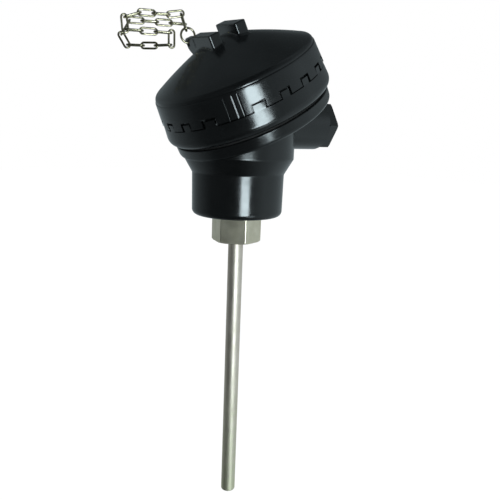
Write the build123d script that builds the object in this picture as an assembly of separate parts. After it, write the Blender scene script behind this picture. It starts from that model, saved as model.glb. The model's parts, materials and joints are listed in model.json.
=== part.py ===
from build123d import *
import math
import os

# Resistance thermometer probe with a moulded connection head.
# Frame: +Z up along the probe, origin at the centre of the hexagon's underside, where the
# steel tube comes out. The conduit entry points along +X and the screw cap leans to -X.
# Cap coordinates are measured on the cap's own axis, with height 0 at the cap's lower rim.
# Sizes are in millimetres and angles in degrees.

os.makedirs("parts", exist_ok=True)

# Probe
sheath_diameter = 8.0
sheath_wall = 0.8
sheath_length = 150.0
sheath_edge_radius = 0.5
sheath_shoulder = 0.2
plug_thickness = 3.0
plug_clearance = 0.02
sheath_stand_up = 3.0
core_clearance = 0.05
wire_diameter = 1.0
wire_count = 3
wire_circle = 0.85
wire_turn = 60.0
wire_bore_clearance = 0.06
element_diameter = 2.8
element_length = 15.0
element_gap = 2.0
seal_depth = 8.0

# Hexagon fitting
hex_across_flats = 23.0
hex_height = 14.0
hex_chamfer = 1.1
hex_chamfer_angle = 30.0
hex_turn = 15.1
shank_diameter = 20.8
shank_length = 15.0
shank_chamfer = 1.2
bore_clearance = 0.03
thread_clearance = 0.1

# Head body, upright part
neck_diameter = 48.0
neck_height = 22.0
neck_foot_radius = 3.0
neck_draft = 0.25
neck_bend_radius = 1.5
flare_height = 8.0
upper_diameter = 57.3
body_wall = 4.2
well_floor = 4.0
boss_wall = 3.8
boss_rise = 1.0

# Cap seat: lean, where the cap's axis meets the probe's axis, and how far the rim lies below that
cap_tilt = 29.3
cap_axis_height = 77.6
cap_rim_drop = 10.9
groove_height = 1.2
flange_overhang = 0.1
flange_band = 6.3
flange_foot_radius = 2.0
flange_top_radius = 0.5
ring_diameter = 76.0
ring_wall = 3.0
ring_height = 9.0
ring_chamfer = 0.8
cavity_floor = 4.5

# Conduit boss
port_height = 62.0
barrel_diameter = 27.0
barrel_end = 52.7
port_hex_flats = 24.0
port_hex_length = 6.4
port_bore = 18.5
port_hex_chamfer = 0.7
port_mouth_chamfer = 1.0

# Cap
cap_clearance = 0.3
cap_wall = 4.3
rim_draw_in = 1.1
bulge_swell = 1.3
bulge_height = 5.0
band_split = 10.4
tooth_step = 0.8
skirt_top = 22.0
skirt_draw_in = 1.3
skirt_edge_radius = 0.6
dome_step = 0.9
dome_edge_height = 1.8
dome_shoulder = 2.8
dome_top = 38.4
dome_crown_radius = 40.8
dome_crown_angle = 20.0
dome_wall = 3.2
thread_depth = 10.2
inner_step = 1.0
inner_drop = 1.6
inner_shoulder = 4.0

# Notches in the skirt, by angle about the cap's axis
tooth_groups = 3
narrow_teeth = 5
wide_tooth_angle = 22.0
narrow_pitch = 17.25
narrow_tooth_angle = 9.0
group_turn = -134.4
notch_height = 3.8
notch_depth = 1.1
slot_angle = 3.2
slot_offset = 4.5
slot_depth = 0.6
slot_top = 20.5
line_angle = 0.5
line_offset = -2.6
line_depth = 0.35

# Lugs and ear on the cap
lug_top = 42.6
lug_thickness = 6.0
lug_gap = 8.4
lug_length = 22.0
lug_turn = -12.0
lug_edge_radius = 0.9
lug_top_radius = 0.6
ear_length = 9.5
ear_thickness = 3.6
ear_tip_height = 5.2
ear_foot_height = 4.2
ear_sweep = 9.0
ear_tip_radius = 1.8
ear_hole = 2.6
ear_hole_edge = 2.7

# Gasket
gasket_inset = 1.1

# Terminal block and its fastenings
block_diameter = 44.0
block_thickness = 8.0
block_lift = 3.0
block_ear_width = 9.0
block_ear_thickness = 4.0
block_screw_inset = 5.5
standoff_diameter = 9.0
block_hole = 9.0
block_edge = 1.0
block_rib = 1.6
block_rib_height = 3.0
screw_clearance = 0.2
insert_diameter = 5.6
insert_length = 5.0
insert_clearance = 0.02
screw_shank = 4.0
screw_length = 9.0
screw_thread_clearance = 0.05
screw_head = 7.0
screw_head_height = 2.4
screw_crown = 0.3
screw_slot = 0.9
screw_slot_depth = 1.0
washer_thickness = 0.9
washer_outer = 7.4
clamp_length = 9.0
clamp_width = 7.0
clamp_height = 6.0
clamp_recess = 1.5
clamp_clearance = 0.1
clamp_x = 12.5
clamp_y = 8.5
clamp_edge = 0.4
clamp_screw = 3.2
clamp_screw_head = 5.2
clamp_screw_head_height = 2.0
ferrule_diameter = 1.7
ferrule_length = 7.0
ferrule_clearance = 0.1
ferrule_reach = 0.8
wire_turn_radius = 2.2
wire_rise = 14.0
wire_hole_circle = 1.7
wire_hole_lead = 2.5
wire_crest = 3.5
wire_run = 3.0
sleeve_length = 12.0
sleeve_wall = 0.5
sleeve_clearance = 0.25

# Chain: link sizes, the ring in the ear, and the heading of the sheet that the chain lies in
link_length = 9.6
link_width = 3.9
link_wire = 1.1
link_play = 0.05
hook_radius = 3.6
hook_lean = -10.0
chain_heading = 155.0
hook_reach = 2.2
# Heading of each link in the chain's sheet, from the ring on: 0 is left, 90 is up
link_headings = [70, -10, 0, 0, -20, -95, -180, -180, -180, -90, -5, 0, 0, 60, 120, 180, 180, 180, 180]
# How far each link points out of the sheet, to the back
link_drifts = [0, 0, 0, 0, 0, 0, 0, 0, 0, 0, 12, 24, 12, 12, 0, 0, 0, 0, 0]

lean = math.radians(cap_tilt)
cap_axis = Vector(-math.sin(lean), 0, math.cos(lean))
cap_side = Vector(math.cos(lean), 0, math.sin(lean))
cap_origin = Vector(0, 0, cap_axis_height) - cap_axis * cap_rim_drop
cap_seat = Plane(origin=cap_origin, x_dir=cap_side, z_dir=cap_axis)

cap_bore = ring_diameter + 2 * cap_clearance
band_top_diameter = cap_bore + 2 * cap_wall
rim_diameter = band_top_diameter - 2 * rim_draw_in
bulge_diameter = band_top_diameter + 2 * bulge_swell
tooth_diameter = band_top_diameter + 2 * tooth_step
notch_floor_diameter = tooth_diameter - 2 * notch_depth
skirt_top_diameter = tooth_diameter - 2 * skirt_draw_in
dome_edge_diameter = skirt_top_diameter - 2 * dome_step
flange_diameter = rim_diameter + 2 * flange_overhang
cavity_diameter = ring_diameter - 2 * ring_wall
block_screw_spacing = cavity_diameter - 2 * block_screw_inset
cut_reach = bulge_diameter + tooth_diameter

neck_top = hex_height + neck_height
upper_low = neck_top + flare_height
shank_top = hex_height + shank_length
boss_top = shank_top + boss_rise
sheath_top = shank_top + sheath_stand_up
sheath_bore = sheath_diameter - 2 * sheath_wall
sheath_seat_diameter = sheath_diameter - 2 * sheath_shoulder
core_diameter = sheath_bore - 2 * core_clearance
plug_top = plug_thickness - sheath_length
element_low = plug_top + element_gap
element_top = element_low + element_length
seal_low = sheath_top - seal_depth
flange_low = -groove_height - flange_band
block_low = block_lift - cavity_floor
block_top = block_low + block_thickness
ear_top = block_low + block_ear_thickness
clamp_low = block_top - clamp_recess
clamp_top = clamp_low + clamp_height
wire_level = clamp_low + clamp_height / 2
sleeve_bore = 2 * wire_circle + wire_diameter + 2 * sleeve_clearance
dome_edge = skirt_top + dome_edge_height
beyond = 2 * (cap_axis_height + flange_diameter)


def in_cap(shape):
    """Move a shape from cap coordinates to its place on the head."""
    return cap_seat.location * shape


def turned(face, arc=360):
    """Solid of revolution about Z of a flat face drawn as radius and height."""
    return revolve(Plane.XZ * face, Axis.Z, revolution_arc=arc)


def outlined(*points):
    """Flat face inside a closed run of straight lines."""
    return make_face(Polyline(*points, close=True))


def rounded(face, place, radius):
    """Round the corner of a flat face that lies nearest to a place."""
    return fillet(face.vertices().sort_by_distance((place[0], place[1], 0))[0], radius)


def rod(diameter, low, high):
    """Plain upright rod between two heights."""
    return Pos(0, 0, (low + high) / 2) * Cylinder(diameter / 2, high - low)


def ring(outer, inner, low, high):
    """Plain upright ring between two diameters and two heights."""
    return rod(outer, low, high) - rod(inner, low, high)


def above(height):
    """Everything over a height, for cutting."""
    return Pos(0, 0, height + beyond / 2) * Box(beyond, beyond, beyond)


def block_screw_places():
    """Places of the terminal block's two screws in cap coordinates."""
    return [Pos(0, side * block_screw_spacing / 2, 0) for side in (-1, 1)]


def clamp_places():
    """Places of the four wire clamps in cap coordinates."""
    return [Pos(x, y, 0) for x in (-clamp_x, clamp_x) for y in (-clamp_y, clamp_y)]


def wire_angle(index):
    """Angle of one lead wire about the probe's axis."""
    return math.radians(wire_turn + 360 / wire_count * index)


def hexagon_fitting():
    """Steel hexagon with a threaded shank above it, bored for the tube."""
    corner = hex_across_flats / math.sqrt(3)
    rise = hex_chamfer * math.tan(math.radians(hex_chamfer_angle))
    prism = extrude(RegularPolygon(corner, 6, rotation=hex_turn), hex_height)
    corners_off = turned(outlined(
        (0, 0), (corner - hex_chamfer, 0), (corner, rise), (corner, hex_height - rise),
        (corner - hex_chamfer, hex_height), (0, hex_height)))
    shank = rod(shank_diameter, hex_height, shank_top)
    shank = chamfer(shank.edges().group_by(Axis.Z)[-1], shank_chamfer)
    bore = rod(sheath_seat_diameter + 2 * bore_clearance, 0, shank_top)
    return (prism & corners_off) + shank - bore


def sheath_tube():
    """Thin steel tube with a rounded lower edge and a shoulder under the hexagon."""
    tube = rod(sheath_diameter, -sheath_length, 0)
    tube = fillet(tube.edges().group_by(Axis.Z)[0], sheath_edge_radius)
    tube += rod(sheath_seat_diameter, 0, sheath_top)
    return tube - rod(sheath_bore, -sheath_length, sheath_top)


def tip_plug():
    """Disc that closes the tube's lower end."""
    return rod(sheath_bore - 2 * plug_clearance, -sheath_length, plug_top)


def rtd_element():
    """Measuring resistor in its pocket near the tip."""
    return rod(element_diameter, element_low, element_top)


def wire_bores(low, high):
    """Round bores for the lead wires between two heights."""
    bores = [
        Pos(wire_circle * math.cos(wire_angle(k)), wire_circle * math.sin(wire_angle(k)), 0)
        * rod(wire_diameter + 2 * wire_bore_clearance, low, high) for k in range(wire_count)]
    return bores


def insulation_core():
    """Insulating rod with a pocket for the element and three wire bores."""
    core = rod(core_diameter, plug_top, seal_low)
    core -= rod(element_diameter + 2 * wire_bore_clearance, element_low, element_top)
    return core - wire_bores(element_top, seal_low)


def sheath_seal():
    """Potting at the tube's top, round the wires."""
    return rod(core_diameter, seal_low, sheath_top) - wire_bores(seal_low, sheath_top)


def wire_sleeve():
    """Soft sleeve round the three wires, standing on the potting."""
    return ring(sleeve_bore + 2 * sleeve_wall, sleeve_bore, sheath_top, sheath_top + sleeve_length)


def wire_targets():
    """Clamps that the three wires go to, as signs of their places."""
    return [(1, 1), (-1, 1), (1, -1)]


def ferrule_start():
    """Distance of a ferrule's collar from the cap's axis, just outside its clamp."""
    return clamp_x - clamp_length / 2 - ferrule_reach


def lead_wire(index):
    """Wire from the element up the tube, through the block and into its clamp."""
    angle = wire_angle(index)
    side_x, side_y = wire_targets()[index]
    x = math.cos(angle)
    y = math.sin(angle)
    end = ferrule_start() + ferrule_length - wire_diameter
    points = [
        Vector(wire_circle * x, wire_circle * y, element_top),
        Vector(wire_circle * x, wire_circle * y, sheath_top + wire_rise),
        cap_seat.from_local_coords(Vector(wire_hole_circle * x, wire_hole_circle * y, block_low - wire_hole_lead)),
        cap_seat.from_local_coords(Vector(wire_hole_circle * x, wire_hole_circle * y, block_top + wire_crest)),
        cap_seat.from_local_coords(Vector(side_x * (ferrule_start() - wire_run), side_y * clamp_y, wire_level)),
        cap_seat.from_local_coords(Vector(side_x * end, side_y * clamp_y, wire_level))]
    path = FilletPolyline(*points, radius=[wire_turn_radius] * (len(points) - 2))
    return sweep(Plane(origin=path @ 0, z_dir=path % 0) * Circle(wire_diameter / 2), path=path)


def wire_ferrules():
    """Crimped collars on the wires' ends, inside the clamps."""
    tube = ring(ferrule_diameter, wire_diameter + 2 * wire_bore_clearance, 0, ferrule_length)
    placed = Part()
    for side_x, side_y in wire_targets():
        start = Pos(side_x * ferrule_start(), side_y * clamp_y, wire_level)
        placed += start * Rot(0, side_x * 90, 0) * tube
    return in_cap(placed)


def terminal_block():
    """Insulating block with two ears, a middle hole, two ribs and four pockets."""
    body = rod(block_diameter, block_low, block_top)
    body = fillet(body.edges().group_by(Axis.Z)[-1], block_edge)
    ears = extrude(SlotCenterToCenter(block_screw_spacing, block_ear_width, rotation=90), block_ear_thickness)
    body += Pos(0, 0, block_low) * ears
    rib_length = block_diameter / 2 - block_edge
    rib = Box(2 * rib_length, block_rib, block_rib_height, align=(Align.CENTER, Align.CENTER, Align.MIN))
    body += Pos(0, 0, block_top) * rib
    body -= rod(block_hole, block_low, block_top + block_rib_height)
    pocket = Box(
        clamp_length + 2 * clamp_clearance, clamp_width + 2 * clamp_clearance, clamp_recess,
        align=(Align.CENTER, Align.CENTER, Align.MIN))
    for place in clamp_places():
        body -= place * Pos(0, 0, clamp_low) * pocket
    for place in block_screw_places():
        body -= place * rod(screw_shank + 2 * screw_clearance, block_low, ear_top)
    return in_cap(body)


def terminal_clamps():
    """Brass blocks, cross-bored for a wire, with a screw hole from above."""
    brass = Box(clamp_length, clamp_width, clamp_height, align=(Align.CENTER, Align.CENTER, Align.MIN))
    brass = chamfer(brass.edges().group_by(Axis.Z)[-1], clamp_edge)
    brass = Pos(0, 0, clamp_low) * brass
    brass -= Pos(0, 0, wire_level) * Rot(0, 90, 0) * Cylinder(
        ferrule_diameter / 2 + ferrule_clearance, clamp_length)
    brass -= rod(clamp_screw + 2 * screw_thread_clearance, wire_level, clamp_top)
    placed = Part()
    for place in clamp_places():
        placed += place * brass
    return in_cap(placed)


def slotted_head(diameter, low, height):
    """Round screw head with a straight driver slot."""
    head = rod(diameter, low, low + height)
    head = fillet(head.edges().group_by(Axis.Z)[-1], height * screw_crown)
    slot = Box(diameter, screw_slot, screw_slot_depth, align=(Align.CENTER, Align.CENTER, Align.MAX))
    return head - Pos(0, 0, low + height) * slot


def terminal_screws():
    """Screws that press the wires in their clamps."""
    reach = wire_level + ferrule_diameter / 2 + screw_thread_clearance
    screw = rod(clamp_screw, reach, clamp_top)
    screw += slotted_head(clamp_screw_head, clamp_top, clamp_screw_head_height)
    placed = Part()
    for place in clamp_places():
        placed += place * screw
    return in_cap(placed)


def block_screws():
    """Two screws through the block's ears."""
    seat = ear_top + washer_thickness
    screw = rod(screw_shank, seat - screw_length, seat)
    screw += slotted_head(screw_head, seat, screw_head_height)
    placed = Part()
    for place in block_screw_places():
        placed += place * screw
    return in_cap(placed)


def block_washers():
    """Washers under the block's screw heads."""
    washer = ring(washer_outer, screw_shank + 2 * screw_clearance, ear_top, ear_top + washer_thickness)
    placed = Part()
    for place in block_screw_places():
        placed += place * washer
    return in_cap(placed)


def brass_inserts():
    """Threaded inserts moulded into the head's standoffs."""
    bore = screw_shank + 2 * screw_thread_clearance
    insert = ring(insert_diameter, bore, block_low - insert_length, block_low)
    placed = Part()
    for place in block_screw_places():
        placed += place * insert
    return in_cap(placed)


def upright_outline(neck_radius, upper_radius, low, foot_radius):
    """Half section of the neck, flare and upper cylinder, up past the cap's seat."""
    face = outlined(
        (0, low), (foot_radius, low), (neck_radius, neck_top), (upper_radius, upper_low),
        (upper_radius, cap_axis_height), (0, cap_axis_height))
    face = rounded(face, (neck_radius, neck_top), neck_bend_radius)
    return rounded(face, (upper_radius, upper_low), neck_bend_radius)


def conduit_boss():
    """Barrel with a hexagonal end, lying along +X."""
    rise = port_hex_chamfer * math.tan(math.radians(hex_chamfer_angle))
    corner = port_hex_flats / math.sqrt(3)
    end = barrel_end + port_hex_length
    prism = Pos(0, 0, barrel_end) * extrude(RegularPolygon(corner, 6, rotation=90), port_hex_length)
    corners_off = turned(outlined(
        (0, barrel_end), (corner, barrel_end), (corner, end - rise), (corner - port_hex_chamfer, end),
        (0, end)))
    boss = rod(barrel_diameter, 0, barrel_end) + (prism & corners_off)
    return Pos(0, 0, port_height) * Rot(0, 90, 0) * boss


def conduit_bore():
    """Threaded entry from the well to the boss's mouth, with a chamfered mouth."""
    end = barrel_end + port_hex_length
    bore = turned(outlined(
        (0, 0), (port_bore / 2, 0), (port_bore / 2, end - port_mouth_chamfer),
        (port_bore / 2 + port_mouth_chamfer, end), (0, end)))
    return Pos(0, 0, port_height) * Rot(0, 90, 0) * bore


def head_body():
    """Neck, flare, upright cylinder, tilted flange, thread ring and conduit boss in one moulding."""
    foot = upright_outline(neck_diameter / 2, upper_diameter / 2, hex_height, neck_diameter / 2 - neck_draft)
    foot = rounded(foot, (neck_diameter / 2 - neck_draft, hex_height), neck_foot_radius)
    body = turned(foot) - in_cap(above(-groove_height))
    flange = rod(flange_diameter, flange_low, -groove_height)
    flange = fillet(flange.edges().group_by(Axis.Z)[0], flange_foot_radius)
    flange = fillet(flange.edges().group_by(Axis.Z)[-1], flange_top_radius)
    thread_ring = rod(ring_diameter, -groove_height, ring_height)
    thread_ring = chamfer(thread_ring.edges().group_by(Axis.Z)[-1], ring_chamfer)
    body += in_cap(flange)
    body += conduit_boss()
    body += in_cap(thread_ring)
    neck_inner = neck_diameter / 2 - body_wall
    well = upright_outline(neck_inner, upper_diameter / 2 - body_wall, hex_height + well_floor, neck_inner - neck_draft)
    boss_radius = shank_diameter / 2 + thread_clearance + boss_wall
    well_cut = turned(well) - rod(2 * boss_radius, hex_height, boss_top)
    body -= well_cut
    body -= rod(shank_diameter + 2 * thread_clearance, hex_height, boss_top)
    body -= in_cap(rod(cavity_diameter, -cavity_floor, ring_height))
    body -= conduit_bore()
    for place in block_screw_places():
        body += in_cap(place * rod(standoff_diameter, -cavity_floor, block_low))
    for place in block_screw_places():
        body -= in_cap(place * rod(insert_diameter + 2 * insert_clearance, block_low - insert_length, block_low))
    return body


def cap_gasket():
    """Flat ring between the cap's rim and the flange."""
    return in_cap(ring(rim_diameter - 2 * gasket_inset, cap_bore, -groove_height, 0))


def skirt_radius(height):
    """Outer radius of the toothed upper band at a height in cap coordinates."""
    share = (height - band_split) / (skirt_top - band_split)
    return (tooth_diameter + share * (skirt_top_diameter - tooth_diameter)) / 2


def dome_line(crown_height, crown_radius, edge):
    """Line of a dome from its top on the axis to its edge: a crown arc, then a tangent flatter arc."""
    crown = JernArc((0, crown_height), (1, 0), crown_radius, -dome_crown_angle)
    return [crown, TangentArc(crown @ 1, edge, tangent=crown % 1)]


def cap_shell_outer():
    """Full form of the cap before it is hollowed: rim, bulging band, toothed band and dome."""
    rim = (rim_diameter / 2, 0)
    band_top = (band_top_diameter / 2, band_split)
    tooth_low = (skirt_radius(band_split), band_split)
    tooth_high = (skirt_radius(skirt_top), skirt_top)
    wall_low = (dome_edge_diameter / 2, skirt_top)
    wall_top = (dome_edge_diameter / 2, dome_edge)
    lines = [
        Line((0, 0), rim), ThreePointArc(rim, (bulge_diameter / 2, bulge_height), band_top),
        Polyline(band_top, tooth_low, tooth_high, wall_low, wall_top), Line((0, dome_top), (0, 0))]
    face = make_face(lines + dome_line(dome_top, dome_crown_radius, wall_top))
    face = rounded(face, wall_top, dome_shoulder)
    return turned(rounded(face, tooth_high, skirt_edge_radius))


def cap_hollow():
    """Space inside the cap: thread zone, step and inner dome."""
    thread_radius = cap_bore / 2
    inner_radius = thread_radius - inner_step
    wall_top = (inner_radius, dome_edge - inner_drop)
    lines = [
        Polyline((0, 0), (thread_radius, 0), (thread_radius, thread_depth), (inner_radius, thread_depth), wall_top),
        Line((0, dome_top - dome_wall), (0, 0))]
    face = make_face(lines + dome_line(dome_top - dome_wall, dome_crown_radius - dome_wall, wall_top))
    return turned(rounded(face, wall_top, inner_shoulder))


def notch_spans():
    """Start angle and width of every notch between the teeth, for one group."""
    edges = [wide_tooth_angle / 2]
    middle = 180 / tooth_groups
    for k in range(narrow_teeth):
        centre = middle + narrow_pitch * (k - (narrow_teeth - 1) / 2)
        edges += [centre - narrow_tooth_angle / 2, centre + narrow_tooth_angle / 2]
    edges.append(2 * middle - wide_tooth_angle / 2)
    return [(edges[2 * k], edges[2 * k + 1] - edges[2 * k]) for k in range(narrow_teeth + 1)]


def skirt_cut(start, angle, depth, low, high):
    """Sector cut that follows the toothed band's slope at an even depth."""
    face = outlined(
        (skirt_radius(low) - depth, low), (cut_reach, low), (cut_reach, high), (skirt_radius(high) - depth, high))
    return Rot(0, 0, start) * turned(face, angle)


def notch_cut(start, angle):
    """Sector cut down to the notch floor."""
    floor = notch_floor_diameter / 2
    high = band_split + notch_height
    face = outlined((floor, band_split), (cut_reach, band_split), (cut_reach, high), (floor, high))
    return Rot(0, 0, start) * turned(face, angle)


def lug(side):
    """Square lug on the dome, on one side of the gap."""
    block = Box(
        lug_thickness, lug_length, lug_top - skirt_top, align=(Align.CENTER, Align.CENTER, Align.MIN))
    block = fillet(block.edges().filter_by(Axis.Z), lug_edge_radius)
    block = fillet(block.edges().group_by(Axis.Z)[-1], lug_top_radius)
    return Rot(0, 0, lug_turn) * Pos(side * (lug_gap + lug_thickness) / 2, 0, skirt_top) * block


def ear():
    """Swept ear on the end of one lug, with a hole for the chain's ring."""
    root = lug_length / 2 - lug_edge_radius - ear_tip_radius
    tip = lug_length / 2 + ear_length
    high = lug_top - lug_top_radius
    low = high - ear_tip_height
    foot = low - ear_foot_height
    lines = [
        Polyline((root, foot), (root, high), (tip, high), (tip, low)),
        RadiusArc((tip, low), (lug_length / 2, foot), ear_sweep), Line((lug_length / 2, foot), (root, foot))]
    face = make_face(lines)
    face = rounded(face, (tip, high), ear_tip_radius)
    face = rounded(face, (tip, low), ear_tip_radius)
    face -= Pos(tip - ear_hole_edge, high - ear_hole_edge) * Circle(ear_hole / 2)
    plate = extrude(Plane.YZ * face, ear_thickness)
    return Rot(0, 0, lug_turn) * Pos(-lug_gap / 2 - lug_thickness, 0, 0) * plate


def screw_cap():
    """Domed cap with a notched skirt, two lugs and an ear, moulded in one."""
    cap = cap_shell_outer() + lug(-1) + lug(1) + ear()
    cap -= cap_hollow()
    spans = notch_spans()
    for group in range(tooth_groups):
        turn = group_turn + group * 360 / tooth_groups
        for start, angle in spans:
            cap -= notch_cut(turn + start, angle)
        cap -= skirt_cut(turn + slot_offset - slot_angle / 2, slot_angle, slot_depth, band_split, slot_top)
        cap -= skirt_cut(turn + line_offset - line_angle / 2, line_angle, line_depth, band_split, slot_top)
    return in_cap(cap)


def ear_hole_place():
    """Centre of the ear's hole as a plane: x across the ear, y out to its tip, z up the cap."""
    tip = lug_length / 2 + ear_length - ear_hole_edge
    high = lug_top - lug_top_radius - ear_hole_edge
    across = ear_thickness / 2 - lug_gap / 2 - lug_thickness
    return in_cap(Rot(0, 0, lug_turn) * Pos(across, tip, high))


def chain_hook():
    """Closed wire ring through the ear."""
    loop = Torus(hook_radius, link_wire / 2)
    return ear_hole_place() * Rot(hook_lean, 0, 0) * Pos(0, 0, hook_radius) * Rot(90, 0, 0) * loop


def chain_frame():
    """Upright sheet through the ear's hole: x left along the sheet, y up, z back."""
    turn = math.radians(chain_heading)
    left = Vector(math.cos(turn), math.sin(turn), 0)
    origin = ear_hole_place().position
    return Plane(origin=origin, x_dir=left, z_dir=left.cross(Vector(0, 0, 1)))


def chain_joints():
    """Joint points from the ring on, as far apart as edgewise and flat links are long."""
    spans = [link_length - link_wire, link_length - link_width - 2 * link_play]
    lift = ear_hole_place() * Rot(hook_lean, 0, 0) * Pos(0, 0, hook_radius)
    first = math.radians(link_headings[0])
    point = chain_frame().to_local_coords(lift.position)
    point += Vector(math.cos(first), math.sin(first), 0) * hook_reach
    joints = [point]
    for k, heading in enumerate(link_headings):
        angle = math.radians(heading)
        drift = math.radians(link_drifts[k])
        level = math.cos(drift)
        step = Vector(math.cos(angle) * level, math.sin(angle) * level, math.sin(drift))
        point += step * spans[k % 2]
        joints.append(point)
    return joints


def chain_link():
    """One long link, lying flat in the XY plane along X."""
    half = (link_length - link_width) / 2
    bend = (link_width - link_wire) / 2
    path = Polyline((-half, bend), (half, bend)) + ThreePointArc((half, bend), (half + bend, 0), (half, -bend))
    path += Polyline((half, -bend), (-half, -bend))
    path += ThreePointArc((-half, -bend), (-half - bend, 0), (-half, bend))
    section = Plane(origin=(0, bend, 0), z_dir=(1, 0, 0)) * RegularPolygon(link_wire / 2, 6)
    return sweep(section, path=path)


def chain_links():
    """All links on their joints, flat and edgewise in turn."""
    joints = chain_joints()
    link = chain_link()
    placed = []
    for k in range(len(joints) - 1):
        along = (joints[k + 1] - joints[k]).normalized()
        flat = Vector(0, 0, 1) - along * along.Z
        normal = flat if k % 2 == 1 else along.cross(flat)
        seat = Plane(origin=(joints[k] + joints[k + 1]) * 0.5, x_dir=along, z_dir=normal)
        placed.append(chain_frame().location * (seat.location * link))
    return Compound(children=placed)


pieces = {
    "head_body": head_body(),
    "screw_cap": screw_cap(),
    "cap_gasket": cap_gasket(),
    "chain_links": chain_links(),
    "chain_hook": chain_hook(),
    "hex_fitting": hexagon_fitting(),
    "sheath_tube": sheath_tube(),
    "tip_plug": tip_plug(),
    "rtd_element": rtd_element(),
    "insulation_core": insulation_core(),
    "sheath_seal": sheath_seal(),
    "wire_sleeve": wire_sleeve(),
    "wire_ferrules": wire_ferrules(),
    "terminal_block": terminal_block(),
    "terminal_clamps": terminal_clamps(),
    "terminal_screws": terminal_screws(),
    "block_screws": block_screws(),
    "block_washers": block_washers(),
    "brass_inserts": brass_inserts(),
}
for index in range(wire_count):
    pieces[f"lead_wire_{index + 1}"] = lead_wire(index)

for name, shape in pieces.items():
    export_step(shape, f"parts/{name}.step")
    print(name, "solids", len(shape.solids()), "volume", round(shape.volume, 1))
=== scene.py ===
"""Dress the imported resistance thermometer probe: camera, studio, finishes and fine meshes.

Everything is in metres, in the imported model's own frame: +Z up along the probe, origin at the
centre of the hexagon's underside, +X along the conduit entry. Cap coordinates are measured on
the cap's own axis, with height 0 at the cap's lower rim.
"""
import json
import logging
import math
from dataclasses import dataclass, field
from enum import Enum
from typing import Callable, Optional, Sequence

import bmesh
import bpy
import numpy as np
from bmesh.types import BMesh, BMVert
from bpy.types import NodeSocket, Object
from mathutils import Matrix, Vector

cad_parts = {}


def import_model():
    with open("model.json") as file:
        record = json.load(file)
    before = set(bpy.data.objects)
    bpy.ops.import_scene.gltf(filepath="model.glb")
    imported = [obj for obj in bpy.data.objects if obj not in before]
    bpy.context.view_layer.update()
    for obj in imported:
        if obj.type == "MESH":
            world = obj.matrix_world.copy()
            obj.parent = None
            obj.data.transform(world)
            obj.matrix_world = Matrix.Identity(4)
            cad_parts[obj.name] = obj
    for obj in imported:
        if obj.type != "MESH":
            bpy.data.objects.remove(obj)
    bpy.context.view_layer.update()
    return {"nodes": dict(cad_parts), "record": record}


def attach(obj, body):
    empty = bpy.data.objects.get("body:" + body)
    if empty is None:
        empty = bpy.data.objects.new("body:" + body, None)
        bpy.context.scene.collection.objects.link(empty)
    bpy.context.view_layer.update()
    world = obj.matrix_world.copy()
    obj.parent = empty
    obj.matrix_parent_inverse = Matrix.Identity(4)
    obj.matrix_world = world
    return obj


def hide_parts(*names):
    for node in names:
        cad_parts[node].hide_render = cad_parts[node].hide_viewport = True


LOG = logging.getLogger("probe")
MM = 0.001
FULL_TURN = 2 * math.pi
MERGE = 1e-6  # points closer than this are one point
EDGE_SEGMENTS = 2
MIX_COLOURS = slice(6, 8)  # the Mix node's colour inputs
MIX_RESULT = 2  # and its colour output


class Body(Enum):
    """Bodies that the pieces ride on."""

    ROOT = "root"
    CAP = "cap"


class Grain(Enum):
    """Fine structure of a surface, as the stretch of its pattern along X, Y and Z."""

    EVEN = (1.0, 1.0, 1.0)
    ALONG = (1.0, 1.0, 0.02)
    ACROSS = (0.12, 0.12, 1.0)


# ---------------------------------------- finishes


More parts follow.
